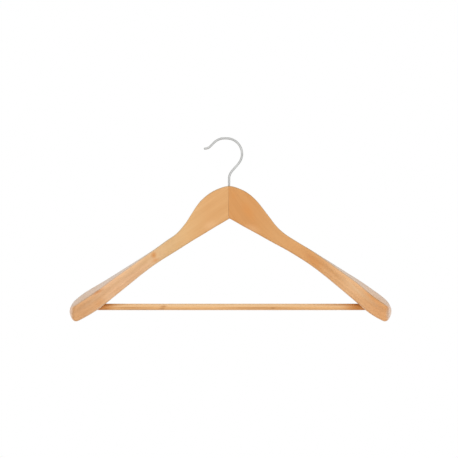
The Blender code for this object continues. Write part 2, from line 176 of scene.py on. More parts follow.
# Each shoulder's colour at some distances from the middle, and the slope of its grain out on the
# arm and how much steeper it is at the seam.
SHOULDER_LOOKS = {
    "left": {
        "tones": [
            (0, (0.655, 0.35, 0.132)), (30, (0.655, 0.35, 0.132)), (62, (0.69, 0.42, 0.187)),
            (84, (0.65, 0.405, 0.185)), (124, (0.745, 0.465, 0.245)), (150, (0.80, 0.50, 0.285)),
            (205, (0.66, 0.355, 0.16)),
        ],
        "slope": 0.68, "steeper": 0.0, "pith": (0, 45 * MM, -125 * MM), "ring_gap": 6 * MM,
    },
    "right": {
        "tones": [
            (0, (0.605, 0.28, 0.08)), (35, (0.605, 0.28, 0.08)), (65, (0.63, 0.325, 0.115)),
            (118, (0.64, 0.305, 0.094)), (165, (0.735, 0.42, 0.2)), (205, (0.68, 0.34, 0.134)),
        ],
        "slope": -0.72, "steeper": -1.0, "pith": (0, 40 * MM, -60 * MM), "ring_gap": 5 * MM,
    },
}
TIP_X = 225 * MM
STEEP_REACH = 42 * MM  # how far from the seam the steeper grain reaches
# Knots, flecks and streaks, and patches of painted shade and painted highlight: place, half sizes,
# the angle they lie at, colour and strength.
SPOTS = {
    "left": [
        ((-105.5, -10, -162.5), (5.5, 60, 7), 0, AMBER, 1.0),
        ((-103.5, -10, -169.5), (8, 60, 3.5), 20, AMBER, 0.8),
        # painted shade along the left arm's underside
        ((-140, -10, -196.5), (68, 60, 10.5), 37, SHADE_TAN, 0.9),
        ((-181, -40, -229.5), (15, 60, 8), 37, AMBER, 0.4),
        # painted shade under the left arm's rim, in this and the next spot
        ((-183, -40, -213.3), (13, 60, 3.4), 28, KNOT_AND_SHADE, 0.85),
        ((-167, -40, -201.3), (15, 60, 3.4), 33, SHADE_TAN, 1.0),
        ((-156, -40, -211), (12, 60, 8), 37, AMBER, 0.22),
        ((-27, 0, -120), (16, 60, 9), 25, STRAW, 0.3),
    ],
    "right": [
        ((120, -10, -171), (20, 60, 8), -38, AMBER, 0.7),
        ((112, -10, -164), (9, 60, 4), -30, KNOT_AND_SHADE, 0.3),
        ((26, -10, -100), (22, 60, 10), -60, AMBER, 0.8),
        ((7, -10, -79), (11, 60, 6), -70, AMBER, 0.4),
        # painted highlights under the right arm's rim, in this and the next spot
        ((175.5, -40, -207.9), (26, 60, 2.2), -45, STRAW, 0.8),
        ((181, -40, -213), (40, 60, 6.5), -39, STRAW, 0.5),
        # painted shade under the rim towards the right nose
        ((201, -40, -221.5), (20, 60, 5.5), -33, AMBER, 0.6),
        # painted highlight down the right nose
        ((223.5, -40, -245), (6.5, 60, 17), 0, NOSE_HIGHLIGHT, 0.8),
        ((33, 0, -126), (17, 60, 9), -25, STRAW, 0.3),
    ],
}

# The bar's wood: a painted highlight on its top and painted shade below, knots and streaks, and
# painted shade of the arms at each end and over its top near them.
BAR_LIT_SIDE = (0.745, 0.485, 0.255)
BAR_SHADED_SIDE = (0.73, 0.4, 0.162)
BAR_SHARES = (0.35, 0.25, 0.35, 0.05)
BAR_PITH = (0, BAR_CENTRE.y + 25 * MM, BAR_CENTRE.z - 18 * MM)
BAR_RING_GAP, BAR_RING_DRIFT = 0.8 * MM, 2 * MM
BAR_SHADED_SIDE_HEIGHTS = (BAR_CENTRE.z + 1.2 * MM, BAR_CENTRE.z - 1 * MM)  # heights where the painted shade on the lower side starts and is full
# heights where the painted shadow on the bar's top starts and is full
BAR_SHADOWED_TOP = (BAR_CENTRE.z + 0.3 * MM, BAR_CENTRE.z + 2.6 * MM)
# the colour of the painted shade where the bar runs in under the arms
BAR_END_SHADE = (0.52, 0.185, 0.02)
# the streaks' colour, also used for the painted shadow on the bar's top
BAR_STREAK_AND_SHADOW = (0.46, 0.2, 0.055)
BAR_MARK_DEPTH = 5 * MM
BAR_KNOT_STRENGTH, BAR_STREAK_STRENGTH = 0.9, 0.75
# Place along X, height above the bar's middle, half length and half width, in millimetres.
BAR_KNOTS = ((-91.5, 0.6, 7, 2.6), (-94, -2.4, 6, 2.2), (61.5, -1.5, 6, 2.2))
BAR_STREAKS = ((-138, -0.7, 48, 1.7), (-128, -3.6, 60, 1.6), (40, -1.2, 80, 1.8))
ARM_SHADE_FROM, ARM_SHADE_TO = 152 * MM, 180 * MM  # where the painted shade of the arms on the bar's ends starts and is full
TOP_SHADES = ((90 * MM, 165 * MM), (-135 * MM, -175 * MM))  # painted shadow of the arms on the bar's top: from, to, on each side
TOP_SHADE_STRENGTH = 0.6

# The figure's scales along and across the grain, as noise cells in a metre.
DRIFT_SCALES = (9, 25, 25)
PATCH_SCALES = (13, 75, 75)
FIBRE_SCALES = (24, 520, 520)
PORE_SCALES = (300, 2600, 2600)
PORE_FROM, PORE_TO = 0.64, 0.74  # only the highest values of their noise are pores
USUAL_LOW, USUAL_HIGH = 0.3, 0.7  # between these lie most values of a noise

# The varnish: a satin coat over the wood.
VARNISH_ROUGHNESS = (0.36, 0.46)
VARNISH_SMUDGES_PER_METRE = 60
PORE_ROUGHNESS = 0.06
VARNISH_RELIEF, RELIEF_STRENGTH = 0.03 * MM, 0.3
COAT_ROUGHNESS = 0.3
COAT_IOR = 1.33
WOOD_IOR = 1.36

# The steel pieces: each plate's colour, and those of its marks.
NICKEL, NICKEL_STAIN, NICKEL_LINE = (0.55, 0.55, 0.54), (0.48, 0.48, 0.47), (0.36, 0.36, 0.35)
ZINC, ZINC_CRYSTAL, ZINC_MARK = (0.52, 0.52, 0.53), (0.42, 0.42, 0.43), (0.25, 0.23, 0.2)
# Where marks start and are full as values of their noise, and their strength at each.
NICKEL_STAINS, NICKEL_LINES = (0.35, 0.7, 0.0, 1.0), (0.55, 0.8, 0.0, 0.35)
ZINC_CRYSTALS, ZINC_MARKS = (0.1, 0.8, 0.0, 1.0), (0.55, 0.75, 0.0, 0.6)
NICKEL_ROUGHNESS = (0.3, 0.42)
NICKEL_RELIEF = 0.02 * MM
WIRE_LINE_SCALES = (40, 5200, 5200)
WIRE_STAIN_SCALES = (120, 400, 400)
ZINC_ROUGHNESS = (0.34, 0.5)
ZINC_RELIEF, ZINC_RELIEF_STRENGTH = 0.03 * MM, 0.2
ZINC_CRYSTALS_PER_METRE, ZINC_MARKS_PER_METRE = 1800.0, 500.0

# Light and camera.
PICTURE_WIDTH = 641.5 * MM  # what the frame spans at the hanger
PICTURE_CENTRE = Vector((-0.1 * MM, -20 * MM, -125.7 * MM))
CAMERA_DISTANCE = 4.0
SENSOR = 36.0
FLOOR_Z = -1.7
FLOOR_HALF = 2.0
FLOOR_TONES = (0.88, 0.88, 0.88), (0.92, 0.92, 0.92)
FLOOR_GRAIN_PER_METRE = 40.0
FLOOR_ROUGHNESS = 0.9
# How bright the surroundings are: towards Y -1 is the front, towards 1 the back.
SURROUNDINGS = [
    (-1, 1.1), (-0.8, 1.33), (-0.5, 1.33), (0.1, 0.22), (0.32, 0.24), (0.64, 1.7), (1, 0.6),
]
SOFTBOX_AT = (-0.3, -1.5, 1.7)
SOFTBOX_SIZE = 1.6
SOFTBOX_POWER = 2

SMOOTH_ANGLE = math.radians(35)
TURNED_SEGMENTS = 48
SAME_POINT = 0.001 * MM  # points closer together than this become one
FAR = 0.4  # past every piece, for cutters


# Small tools


def mix(a, b, share):
    return a + (b - a) * share


def ease(value, low, high):
    share = min(1, max(0, (value - low) / (high - low)))
    return share * share * (3 - 2 * share)


def steps(count):
    return [(i + 1) / count for i in range(count)]


def link(name, mesh):
    obj = bpy.data.objects.new(name, mesh)
    bpy.context.scene.collection.objects.link(obj)
    return obj


def mesh_from(bm, name):
    bmesh.ops.recalc_face_normals(bm, faces=bm.faces)
    mesh = bpy.data.meshes.new(name)
    bm.to_mesh(mesh)
    bm.free()
    mesh.shade_smooth()
    mesh.set_sharp_from_angle(angle=SMOOTH_ANGLE)
    return mesh


def rows_of_faces(bm, rings):
    """Faces between each ring of points and the next. All rings have one length."""
    made = [[bm.verts.new(point) for point in ring] for ring in rings]
    for near, far in zip(made, made[1:]):
        for i in range(len(near)):
            bm.faces.new((near[i - 1], near[i], far[i], far[i - 1]))
    return made


def skin(rings, name):
    """A closed tube through rings of points."""
    bm = bmesh.new()
    made = rows_of_faces(bm, rings)
    bm.faces.new(made[0])
    bm.faces.new(made[-1])
    return mesh_from(bm, name)


def turned(name, profile, at, axis=(0, 0, 1), segments=TURNED_SEGMENTS):
    """A closed solid of (radius, height) points turned about an axis through a point."""
    bm = bmesh.new()
    verts = [bm.verts.new((radius, 0, height)) for radius, height in profile]
    edges = [bm.edges.new(pair) for pair in zip(verts, verts[1:])]
    bmesh.ops.spin(
        bm, geom=verts + edges, cent=(0, 0, 0), axis=(0, 0, 1), angle=math.tau, steps=segments
    )
    bmesh.ops.remove_doubles(bm, verts=bm.verts, dist=SAME_POINT)
    turn = Vector((0, 0, 1)).rotation_difference(Vector(axis)).to_matrix().to_4x4()
    bmesh.ops.transform(bm, verts=bm.verts, matrix=Matrix.Translation(at) @ turn)
    return link(name, mesh_from(bm, name))


def carve(obj, cuts):
    """Applies (operation, other object) pairs to a mesh."""
    for operation, other in cuts:
        modifier = obj.modifiers.new(operation, "BOOLEAN")
        modifier.operation = operation
        modifier.object = other
    depsgraph = bpy.context.evaluated_depsgraph_get()
    mesh = bpy.data.meshes.new_from_object(obj.evaluated_get(depsgraph))
    obj.modifiers.clear()
    obj.data = mesh
    mesh.shade_smooth()
    mesh.set_sharp_from_angle(angle=SMOOTH_ANGLE)


def place(obj, body, node, material):
    """The piece takes a CAD node's place, and rides on its body."""
    obj.data.materials.clear()
    obj.data.materials.append(material)
    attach(obj, body)
    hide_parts(node)


# The shoulders' shape


def smooth_curve(points, before, after):
    """A centripetal Catmull-Rom curve through points; before and after steer its two ends."""
    padded = [Vector(p) for p in (before, *points, after)]
    curve = []
    for p0, p1, p2, p3 in zip(padded, padded[1:], padded[2:], padded[3:]):
        t1 = math.sqrt((p1 - p0).length)
        t2 = t1 + math.sqrt((p2 - p1).length)
        t3 = t2 + math.sqrt((p3 - p2).length)
        for step in range(CURVE_STEPS):
            t = t1 + (t2 - t1) * step / CURVE_STEPS
            a1 = p0.lerp(p1, t / t1)
            a2 = p1.lerp(p2, (t - t1) / (t2 - t1))
            a3 = p2.lerp(p3, (t - t2) / (t3 - t2))
            b1 = a1.lerp(a2, t / t2)
            b2 = a2.lerp(a3, (t - t1) / (t3 - t1))
            curve.append(b1.lerp(b2, (t - t1) / (t2 - t1)))
    return curve + [padded[-2]]


def half_outline():
    """The outline's top and its underside as (X, Z) arrays that run outwards, in metres."""
    before = (-OUTLINE[1][0], OUTLINE[1][1])  # level at the crown
    after = [2 * a - b for a, b in zip(OUTLINE[-1], OUTLINE[-2])]  # straight into the notch
    curve = np.array(smooth_curve(OUTLINE, before, after)) * MM
    nose = int(curve[:, 0].argmax())
    return curve[: nose + 1].T, curve[nose:][::-1].T


def lean(x, z):
    """How far to the right the outline is at a place along X and a height."""
    nose = NOSE_LEAN * ease(abs(x), NOSE_LEAN_FROM, NOSE_LEAN_TO)
    for (z0, lean0), (z1, lean1) in zip(LEAN, LEAN[1:]):
        if z >= z1 * MM:
            return mix(lean0, lean1, ease(-z, -z0 * MM, -z1 * MM)) * MM + nose
    return LEAN[-1][1] * MM + nose


def sweep(x):
    """Where an arm's middle is along Y: out from the neck it runs forward."""
    return -SWEEP_PER_METRE * max(0, abs(x) - SWEEP_FROM) ** 2


def cubic(points, share):
    """A point on the cubic curve with these four control points."""
    rest = 1 - share
    weights = (rest**3, 3 * rest * rest * share, 3 * rest * share * share, share**3)
    return tuple(sum(w * p[axis] for w, p in zip(weights, points)) for axis in (0, 1))


def half_section(x, height, nose_x):
    """Half of an arm's section: (depth from its middle, distance below its top) down to the foot."""
    flare = ease(x, FLARE_FROM, FLARE_TO)
    grown = ease(x, WEB_FROM, WEB_TO)
    past = max(0, (x - nose_x + NOSE_LENGTH) / NOSE_LENGTH)
    rounding = max(0, 1 - past**NOSE_SQUARENESS) ** (1 / DOME_POWER)
    web = mix(NECK_HALF, WEB_HALF, grown) * rounding
    foot = mix(NECK_HALF, FOOT_HALF, grown) * rounding
    rim = mix(web, RIM_HALF * rounding, flare)
    rim_share = mix(RIM_SHARE, NOSE_RIM_SHARE, ease(x, NOSE_RIM_FROM, NOSE_RIM_TO))
    edge = min(mix(EDGE_RADIUS, RIM_RADIUS, flare), rim_share * height, rim)
    rim_z = mix(edge, rim_share * height, flare)
    dome = (rim - edge, rim_z - edge)
    slope = DOME_POWER * dome[1] / max(dome[0], EDGE_RADIUS)
    web_z = WEB_SHARE * height
    radius = min(mix(FOOT_RADIUS, OUTER_FOOT_RADIUS, grown), MAX_FOOT_SHARE * height, foot)
    foot_z = height - radius

    handle = ARC_HANDLE * edge
    outwards = (dome[0] + handle, dome[1] + handle * slope)
    round_edge = [dome, outwards, (rim, rim_z - handle), (rim, rim_z)]
    reach = UNDERCUT_HANDLE * (web_z - rim_z)
    undercut = [(rim, rim_z), (rim, rim_z + reach), (web, web_z - reach), (web, web_z)]
    half = [(0, 0)]
    half += [(dome[0] * share, dome[1] * share**DOME_POWER) for share in steps(DOME_STEPS)]
    half += [cubic(round_edge, share) for share in steps(EDGE_STEPS)]
    half += [cubic(undercut, share) for share in steps(UNDERCUT_STEPS)]
    half += [(mix(web, foot, share), mix(web_z, foot_z, share)) for share in steps(WEB_STEPS)]
    for share in steps(EDGE_STEPS):
        angle = share * math.pi / 2
        half.append((foot - radius * (1 - math.cos(angle)), foot_z + radius * math.sin(angle)))
    half += [((foot - radius) * (1 - share), height) for share in steps(FLAT_STEPS)]
    return half


def stations(nose_x):
    """Signed distances out from the middle, nose to nose, closer together at the seam."""
    plain_length = nose_x - NOSE_LENGTH
    count = round(plain_length / STATION_STEP)
    plain = [plain_length * (i + 0.5) / count for i in range(count)]
    angles = [math.pi / 2 * i / NOSE_STATIONS for i in range(NOSE_STATIONS)]
    half = plain + [plain_length + NOSE_LENGTH * math.sin(angle) for angle in angles]
    seam = [SEAM_X + SEAM_GROOVE_HALF * share for share in SEAM_STATIONS]
    both = [-x for x in half] + half
    near = [x for x in both if abs(x - SEAM_X) < 2 * SEAM_GROOVE_HALF]
    return sorted([x for x in both if x not in near] + seam)


def groove(x):
    """How far the surface is inset for the eased edges along the seam."""
    return SEAM_GROOVE * max(0, 1 - abs(x - SEAM_X) / SEAM_GROOVE_HALF)


def wavy(point, middle):
    """A point moved towards its section's middle by the slight waviness of a sanded surface."""
    wave = 0.5 + 0.5 * noise.noise(point * WAVES_PER_METRE)
    wave += FINE_WAVE_SHARE * noise.noise(point * FINE_WAVES_PER_METRE)
    inward = (middle - point).normalized()
    return point + inward * CARVING_DEPTH * min(1, max(0, wave))


def section_ring(x, top, foot, nose_x):
    """One closed section of the body, as points in space."""
    half = half_section(abs(x), top - foot, nose_x)
    inset = groove(x)
    ring = []
    mirrored = [(-depth, below) for depth, below in half[-2:0:-1]]
    for depth, below in half + mirrored:
        depth -= math.copysign(min(inset, abs(depth)), depth)
        z = min(max(top - below, foot + inset), top - inset)
        ring.append(Vector((x + lean(x, z), sweep(x) - depth, z)))
    middle = sum(ring, Vector()) / len(ring)
    return [wavy(point, middle) for point in ring]


def shoulder_body(name):
    """The whole carved body, nose to nose, before it is parted at the neck."""
    (top_x, top_z), (foot_x, foot_z) = half_outline()
    nose_x, nose_z = top_x[-1], top_z[-1]
    rings = []
    for x in stations(nose_x):
        top, foot = np.interp(abs(x), top_x, top_z), np.interp(abs(x), foot_x, foot_z)
        rings.append(section_ring(x, top, foot, nose_x))
    tips = [sign * nose_x + lean(nose_x, nose_z) for sign in SIDES.values()]
    ends = [Vector((x, sweep(nose_x), nose_z)) for x in tips]
    rings = [[ends[0]] * len(rings[0])] + rings + [[ends[1]] * len(rings[0])]
    bm = bmesh.new()
    rows_of_faces(bm, rings)
    bmesh.ops.remove_doubles(bm, verts=bm.verts, dist=NOSE_POINTS_APART)
    return link(name, mesh_from(bm, name))


def right_side_prism(name, grow):
    """All that belongs to the right shoulder: its side of the seam, and the tongue past it."""
    seam = SEAM_X - grow
    reach = -TONGUE_REACH - grow
    half = TONGUE_HALF + grow
    outline = [
        (FAR, -FAR), (FAR, FAR), (seam, FAR), (seam, half),
        (reach, half), (reach, -half), (seam, -half), (seam, -FAR),
    ]
    rings = [[(x, y, z) for x, y in outline] for z in (-FAR, FAR)]
    return link(name, skin(rings, name))


def hook_cutters():
    """The bore for the shank, with an eased mouth, and the recess for what holds the hook."""
    bore = WIRE_RADIUS + BORE_GAP
    mouth = BORE_MOUTH
    crown = OUTLINE[0][1] * MM
    recess = WASHER_HIGH.x + RECESS_GAP
    recess_top = WASHER_HIGH.z + RECESS_TOP_GAP
    bore_profile = [
        (0, -FAR), (bore, -FAR), (bore, crown - mouth), (bore + mouth, crown),
        (bore + 4 * mouth, crown + 3 * mouth), (0, crown + 3 * mouth),
    ]
    recess_profile = [(0, -FAR), (recess, -FAR), (recess, recess_top), (0, recess_top)]
    return [
        turned("bore_cut", bore_profile, (0, 0, 0)),
        turned("recess_cut", recess_profile, (0, 0, 0)),
    ]


def bar_cutter():
    """The two sockets for the trouser bar, in one."""
    radius = BAR_RADIUS + SOCKET_GAP
    length = (BAR_HIGH.x - BAR_LOW.x) + 2 * SOCKET_END_GAP
    profile = [(0, 0), (radius, 0), (radius, length), (0, length)]
    start = (BAR_LOW.x - SOCKET_END_GAP, BAR_CENTRE.y, BAR_CENTRE.z)
    return turned("socket_cut", profile, start, (1, 0, 0), SOCKET_SEGMENTS)


def nail_cutter(side):
    """The seat of a bar nail's head and the dimple over it, from the back."""
    low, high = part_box(f"{side}_bar_nail")
    middle = (low + high) / 2
    head = (high.x - low.x) / 2 + NAIL_HEAD_GAP
    outside = NAIL_HOLE_ABOVE + NAIL_DIMPLE
    profile = [
        (0, -NAIL_HOLE_BELOW), (head, -NAIL_HOLE_BELOW), (head, NAIL_HOLE_ABOVE),
        (head + NAIL_DIMPLE, outside), (0, outside),
    ]
    return turned(f"{side}_nail_cut", profile, (middle.x, high.y, middle.z), (0, 1, 0))


def make_shoulders():
    cutters = [*hook_cutters(), bar_cutter(), *(nail_cutter(side) for side in SIDES)]
    prisms = {
        "left": ("DIFFERENCE", right_side_prism("right_side_and_gap", SEAM_GAP)),
        "right": ("INTERSECT", right_side_prism("right_side", 0)),
    }
    for side in SIDES:
        shoulder = shoulder_body(f"{side}_carved_shoulder")
        carve(shoulder, [prisms[side], *(("DIFFERENCE", cutter) for cutter in cutters)])
        place(shoulder, "hanger", f"{side}_shoulder", shoulder_wood(side))
    for cutter in [*cutters, *(prism for _, prism in prisms.values())]:
        bpy.data.objects.remove(cutter)


# The hook's shape


def walk(start, heading, moves):
    """Points and headings of a path in the XZ plane of arcs and straight runs; left is positive."""
    x, z = start
    points = []
    for radius_or_length, turn in moves:
        if turn == 0:
            x += radius_or_length * math.cos(heading)
            z += radius_or_length * math.sin(heading)
            points.append((x, z, heading))
            continue
        count = math.ceil(abs(turn) / WIRE_STEP)
        sense = math.copysign(1, turn)
        centre_x = x - sense * radius_or_length * math.sin(heading)
        centre_z = z + sense * radius_or_length * math.cos(heading)
        for _ in range(count):
            heading += turn / count
            x = centre_x + sense * radius_or_length * math.sin(heading)
            z = centre_z - sense * radius_or_length * math.cos(heading)
            points.append((x, z, heading))
    return points


def hook_path():
    """The wire's centre line from the shank up, over the bow and out to the tip."""
    inner_radius = BOW_RADIUS - WIRE_RADIUS
    centre_z = -math.sqrt(inner_radius**2 - BOW_OFFSET**2)
    crown = (BOW_OFFSET, centre_z + BOW_RADIUS)
    low = BOW_BELOW_LEVEL
    bend_width = SHANK_BEND_RADIUS * (1 - math.cos(low))
    run = (BOW_OFFSET + BOW_RADIUS * math.cos(low) - bend_width) / math.sin(low)
    down = walk(
        crown, 0, [(BOW_RADIUS, -math.pi / 2 - low), (run, 0), (SHANK_BEND_RADIUS, low)]
    )
    up = [(x, z, heading + math.pi) for x, z, heading in down[::-1]]
    out = walk(
        crown,
        math.pi,
        [
            (CROWN_FLAT, 0), (CROWN_RADIUS, CROWN_TURN), (MOUTH_STRAIGHT, 0),
            (TIP_RADIUS, -TIP_TURN), (TIP_STRAIGHT, 0),
        ],
    )
    return [*up, (*crown, math.pi), *out]


def wire_ring(x, z, heading, radius):
    """A section of the wire; radius is a number, or a function of the angle round the wire."""
    ring = []
    for i in range(WIRE_SEGMENTS):
        angle = math.tau * i / WIRE_SEGMENTS
        r = radius(angle) if callable(radius) else radius
        across = r * math.cos(angle)
        ring.append(
            (x - across * math.sin(heading), r * math.sin(angle), z + across * math.cos(heading))
        )
    return ring


def thread_rings():
    """The shank's lower end: a chamfer, then a rolled thread that runs out under the neck."""
    rings = []
    count = round((THREAD_TOP - SHANK_END) / THREAD_PITCH * THREAD_STEPS)
    for i in range(count + 1):
        z = mix(SHANK_END, THREAD_TOP, i / count)
        turns = (z - SHANK_END) / THREAD_PITCH
        runout = min(1, (THREAD_TOP - z) / THREAD_RUNOUT)
        chamfer = max(0, SHANK_CHAMFER - (z - SHANK_END))

        def radius(angle, turns=turns, runout=runout, chamfer=chamfer):
            across = abs((turns - angle / math.tau) % 1 - 0.5) * 2
            return WIRE_RADIUS - chamfer - THREAD_DEPTH * runout * (1 - across)

        rings.append(wire_ring(0, z, math.pi / 2, radius))
    return rings


def tip_rings(x, z, heading):
    """The wire's rounded tip, from where its dome starts."""
    rings = []
    for share in steps(TIP_STEPS):
        angle = TIP_ROUNDING * share
        along = WIRE_RADIUS * math.sin(angle)
        rings.append(
            wire_ring(
                x + along * math.cos(heading), z + along * math.sin(heading), heading,
                WIRE_RADIUS * math.cos(angle),
            )
        )
    return rings


def make_hook():
    path = hook_path()
    end_x, end_z, heading = path[-1]
    dome_x = end_x - WIRE_RADIUS * math.cos(heading)
    dome_z = end_z - WIRE_RADIUS * math.sin(heading)
    path[-1] = (dome_x, dome_z, heading)
    rings = thread_rings()
    rings += [wire_ring(x, z, way, WIRE_RADIUS) for x, z, way in path]
    rings += tip_rings(dome_x, dome_z, heading)
    hook = link("hook_wire", skin(rings, "hook_wire"))
    store_distance_along(hook.data, len(rings))
    place(hook, "hook", "hook", drawn_wire())


def store_distance_along(mesh, ring_count):
    """Keeps how far along the tube each point is and where round it, for the drawn lines."""
    points = np.array([vert.co for vert in mesh.vertices]).reshape(ring_count, WIRE_SEGMENTS, 3)
    centres = points.mean(axis=1)
    gaps = np.linalg.norm(np.diff(centres, axis=0), axis=1)
    along = np.concatenate([[0], np.cumsum(gaps)])
    angles = np.arange(WIRE_SEGMENTS) / WIRE_SEGMENTS * math.tau
    values = np.zeros((ring_count, WIRE_SEGMENTS, 3), np.float32)
    values[:, :, 0] = along[:, None]
    values[:, :, 1] = np.cos(angles)[None] * WIRE_RADIUS
    values[:, :, 2] = np.sin(angles)[None] * WIRE_RADIUS
    attribute = mesh.attributes.new("wire", "FLOAT_VECTOR", "POINT")
    attribute.data.foreach_set("vector", values.ravel())


# The trouser bar's shape


def bar_ring(x, radius):
    """A section of the bar, which isn't perfectly round."""
    ring = []
    for i in range(BAR_SEGMENTS):
        angle = math.tau * i / BAR_SEGMENTS
        around = Vector((0, math.cos(angle), math.sin(angle)))
        place_on_bar = Vector((x * BAR_WAVES_PER_METRE, *around.yz * BAR_WAVES_ROUND))
        wave = 0.5 + 0.5 * noise.noise(place_on_bar)
        centre = Vector((x, BAR_CENTRE.y, BAR_CENTRE.z))
        ring.append(centre + around * (radius - BAR_WAVE_DEPTH * wave))
    return ring


def make_bar():
    """A dowel with chamfered ends."""
    low, high = BAR_LOW.x, BAR_HIGH.x
    small = BAR_RADIUS - BAR_CHAMFER
    sections = [(low, small), (low + BAR_CHAMFER, BAR_RADIUS)]
    sections += [(mix(low, high, i / BAR_RINGS), BAR_RADIUS) for i in range(1, BAR_RINGS)]
    sections += [(high - BAR_CHAMFER, BAR_RADIUS), (high, small)]
    rings = [bar_ring(x, radius) for x, radius in sections]
    bar = link("bar_dowel", skin(rings, "bar_dowel"))
    place(bar, "hanger", "trouser_bar", bar_wood())


# Materials


class Graph:
    """A material's nodes, added one by one. An input is a number, a colour or another output."""

    def __init__(self, name):
        self.material = bpy.data.materials.new(name)
        self.material.use_nodes = True
        self.tree = self.material.node_tree
        self.shader = self.tree.nodes["Principled BSDF"]

    def put(self, socket, value):
        if isinstance(value, bpy.types.NodeSocket):
            self.tree.links.new(value, socket)
        elif socket.type == "RGBA":
            socket.default_value = (*value, 1)
        else:
            socket.default_value = value

    def add(self, kind, output=0, settings=None, **inputs):
        node = self.tree.nodes.new("ShaderNode" + kind)
        for key, value in (settings or {}).items():
            setattr(node, key, value)
        for key, value in inputs.items():
            self.put(node.inputs[key.replace("_", " ")], value)
        return node.outputs[output]

    def math(self, operation, *values):
        node = self.tree.nodes.new("ShaderNodeMath")
        node.operation = operation
        for socket, value in zip(node.inputs, values):
            self.put(socket, value)
        return node.outputs[0]

    def vector(self, operation, *values, output=0):
        node = self.tree.nodes.new("ShaderNodeVectorMath")
        node.operation = operation
        for socket, value in zip(node.inputs, values):
            self.put(socket, value)
        return node.outputs[output]

    def mix(self, share, a, b, blend="MIX"):
        node = self.tree.nodes.new("ShaderNodeMix")
        node.data_type = "RGBA"
        node.blend_type = blend
        self.put(node.inputs[0], share)
        self.put(node.inputs[6], a)
        self.put(node.inputs[7], b)
        return node.outputs[2]

    def ramp(self, value, low, high, start=0.0, end=1.0):
        """value from low to high gives start to end, smoothly, and stays there outside."""
        return self.add(
            "MapRange", settings={"interpolation_type": "SMOOTHSTEP"},
            Value=value, From_Min=low, From_Max=high, To_Min=start, To_Max=end,
        )

    def colours(self, value, stops):
        """value from 0 to 1 gives a colour between those of (value, colour) stops."""
        node = self.tree.nodes.new("ShaderNodeValToRGB")
        ramp = node.color_ramp
        while len(ramp.elements) < len(stops):
            ramp.elements.new(1.0)
        for element, (at, colour) in zip(ramp.elements, stops):
            element.position = at
            element.color = (*colour, 1)
        self.put(node.inputs[0], value)
        return node.outputs[0]

    def noise(self, where, scale=1.0, detail=2.0):
        return self.add("TexNoise", Vector=where, Scale=scale, Detail=detail)

    def coordinates(self):
        """The object's own coordinates, in metres."""
        return self.add("TexCoord", output=3)

    def axis(self, vector, letter):
        return self.add("SeparateXYZ", output="XYZ".index(letter), Vector=vector)

    def stretched(self, where, scales, at, turn):
        """Coordinates about a point, turned by angles and then scaled per axis."""
        moved = self.vector("SUBTRACT", where, at)
        turned_to = self.add(
            "VectorRotate", settings={"rotation_type": "EULER_XYZ"}, Vector=moved, Rotation=turn
        )
        return self.vector("MULTIPLY", turned_to, scales)

    def spot(self, where, at, size, turn=(0, 0, 0)):
        """1 at a point, falling to 0 at an ellipsoid of these half sizes round it."""
        scales = tuple(1 / s for s in size)
        away = self.vector("LENGTH", self.stretched(where, scales, at, turn), output=1)
        return self.ramp(away, 1.0, 0.0)

    def finish(self, **inputs):
        for key, value in inputs.items():
            self.put(self.shader.inputs[key.replace("_", " ")], value)
        return self.material


def wood_figure(graph, board, pith, ring_gap, ring_drift):
    """Solid wood in its board's own axes, X along the grain: growth rings about a pith line,
    cloudy patches, fibres and pores, as four values from 0 to 1."""
    from_pith = graph.vector("SUBTRACT", board, pith)
    distance = graph.vector("LENGTH", graph.vector("MULTIPLY", from_pith, (0, 1, 1)), output=1)
    drift = graph.noise(graph.vector("MULTIPLY", board, DRIFT_SCALES), detail=2)
    drifted = graph.math("ADD", distance, graph.math("MULTIPLY", drift, ring_drift))
    rings = graph.math("PINGPONG", graph.math("DIVIDE", drifted, ring_gap), 1.0)
    patches = graph.noise(graph.vector("MULTIPLY", board, PATCH_SCALES), detail=3)
    fibres = graph.noise(graph.vector("MULTIPLY", board, FIBRE_SCALES), detail=3)
    pores = graph.noise(graph.vector("MULTIPLY", board, PORE_SCALES), detail=1)
    return (
        graph.ramp(rings, 0.0, 1.0),
        graph.ramp(patches, USUAL_LOW, USUAL_HIGH),
        graph.ramp(fibres, USUAL_LOW, USUAL_HIGH),
        graph.ramp(pores, PORE_FROM, PORE_TO),
    )


def figured(graph, pale, shares, figure):
    """A pale wood colour, deeper by how much each part of the figure counts."""
    tone = 0.0
    for share, value in zip(shares, figure):
        tone = graph.math("ADD", graph.math("MULTIPLY", value, share), tone)
    return graph.mix(tone, pale, graph.mix(1.0, pale, DEEPER, "MULTIPLY"))


def varnished(graph, where, colour, fibres, pores):
    """The finish over a wood colour: a thin satin varnish that follows the pores a little."""
    cells = (VARNISH_SMUDGES_PER_METRE,) * 3
    smudges = graph.noise(graph.vector("MULTIPLY", where, cells), detail=3)
    rough = graph.ramp(smudges, USUAL_LOW, USUAL_HIGH, *VARNISH_ROUGHNESS)
    rough = graph.math("ADD", rough, graph.math("MULTIPLY", pores, PORE_ROUGHNESS))
    height = graph.math(
        "SUBTRACT", graph.math("MULTIPLY", fibres, 0.5), graph.math("MULTIPLY", pores, 0.5)
    )
    bump = graph.add("Bump", Strength=RELIEF_STRENGTH, Distance=VARNISH_RELIEF, Height=height)
    return graph.finish(
        Base_Color=colour, Roughness=rough, Normal=bump, Coat_Weight=1.0,
        Coat_Roughness=COAT_ROUGHNESS, Coat_IOR=COAT_IOR, IOR=WOOD_IOR,
    )


